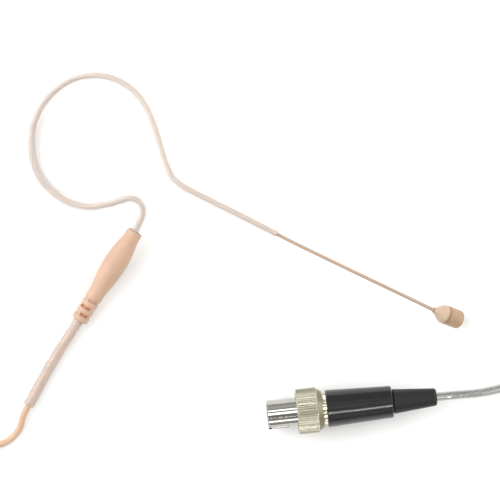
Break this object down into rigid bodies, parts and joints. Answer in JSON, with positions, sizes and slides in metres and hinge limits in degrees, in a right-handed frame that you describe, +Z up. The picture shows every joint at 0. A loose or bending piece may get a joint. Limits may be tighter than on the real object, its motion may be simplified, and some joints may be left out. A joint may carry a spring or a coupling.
{
  "type": "headset microphone",
  "caption": "Single-ear headset microphone: wire ear loop, thin bendable boom with a small capsule, moulded splice housing, coiled thin cord and a round threaded plug.",
  "frame": {"origin": "middle of the headset's footprint on the surface it lies on, cord and plug left out", "axes": "+X from the ear loop towards the capsule, +Y across it towards the top of the ear loop, +Z up from the surface"},
  "size_m": [0.2217, 0.1548, 0.0225],
  "materials": {
    "housing_beige": "satin",
    "sheath_clear": "clear",
    "tube_paint": "satin",
    "lead_jacket": "satin",
    "capsule_paint": "satin",
    "seal_rubber": "matt",
    "can_metal": "satin",
    "board": "satin",
    "membrane": "gloss",
    "mesh_steel": "woven",
    "copper_wire": "satin",
    "crimp_metal": "satin",
    "cord_beige": "satin",
    "tie_beige": "matt",
    "braid_silver": "braided",
    "barrel_nickel": "polished",
    "nut_nickel": "knurled",
    "spring_metal": "polished",
    "insert_plastic": "matt",
    "contact_gold": "polished",
    "washer_gold": "polished",
    "sleeve_black": "gloss",
    "boot_black": "satin",
    "liner_white": "matt"
  },
  "bodies": {
    "base": {"junction_overmould": "housing_beige", "core_ferrule": "crimp_metal", "splice_board": "board", "splice_wires": "copper_wire", "cable_crimp": "crimp_metal", "ear_loop_sheath": "sheath_clear", "ear_loop_core": "tube_paint", "ear_loop_lead": "lead_jacket", "elbow_sheath": "sheath_clear", "elbow_core": "tube_paint", "elbow_lead": "lead_jacket", "cable_lead": "cord_beige", "cable_sleeve": "sheath_clear", "cable_coil": "cord_beige", "coil_tie": "tie_beige", "cable_tail": "cord_beige", "braid_sleeve": "braid_silver", "plug_jacket": "sheath_clear", "plug_barrel": "barrel_nickel", "contact_insert": "insert_plastic", "socket_contacts": "contact_gold", "plug_wires": "copper_wire", "lock_washer": "washer_gold", "plug_sleeve": "sleeve_black", "plug_liner": "liner_white", "plug_cable_end": "cord_beige", "cable_clamp": "crimp_metal", "plug_boot": "boot_black"},
    "boom_root": {"boom_sheath": "sheath_clear", "boom_root": "tube_paint", "boom_root_lead": "lead_jacket", "boom_bend": "tube_paint", "boom_bend_lead": "lead_jacket"},
    "boom": {"boom_tube": "tube_paint", "boom_lead": "lead_jacket", "capsule_cone": "capsule_paint", "capsule_seal": "seal_rubber", "electret_can": "can_metal", "fet_board": "board", "backplate": "can_metal", "diaphragm": "membrane"},
    "cap": {"capsule_cap": "capsule_paint", "acoustic_mesh": "mesh_steel"},
    "nut_ring": {"slip_ring": "spring_metal"},
    "nut": {"coupling_nut": "nut_nickel"},
    "ground_leaf": {"ground_spring": "spring_metal"}
  },
  "joints": [
    {"name": "boom_swing", "type": "hinge", "parent": "base", "child": "boom_root", "pos_m": [-0.02408, 0.00741, 0.01835], "axis": [-0.0421, 0.204, 0.9781], "range_deg": [-8, 15], "deforming": ["elbow_sheath", "elbow_core", "elbow_lead"]},
    {"name": "boom_lift", "type": "hinge", "parent": "boom_root", "child": "boom", "pos_m": [0.01471, -0.01373, 0.02111], "axis": [-0.4462, -0.895, 0], "range_deg": [0, 22], "deforming": ["boom_bend", "boom_bend_lead"]},
    {"name": "cap_pull", "type": "slide", "parent": "boom", "child": "cap", "axis": [0.7819, -0.3033, -0.5446], "range_m": [0, 0.006]},
    {"name": "nut_play", "type": "slide", "parent": "base", "child": "nut_ring", "axis": [-0.9941, -0.1062, 0.0209], "range_m": [0, 0.0006]},
    {"name": "nut_spin", "type": "hinge", "parent": "nut_ring", "child": "nut", "pos_m": [0.02112, -0.06976, 0.00757], "axis": [0.9941, 0.1062, -0.0209], "continuous": true},
    {"name": "ground_leaf_press", "type": "hinge", "parent": "base", "child": "ground_leaf", "pos_m": [0.01384, -0.07479, 0.00927], "axis": [0.0168, -0.3422, -0.9395], "range_deg": [0, 5], "stiffness_Nm_per_rad": 0.02}
  ]
}
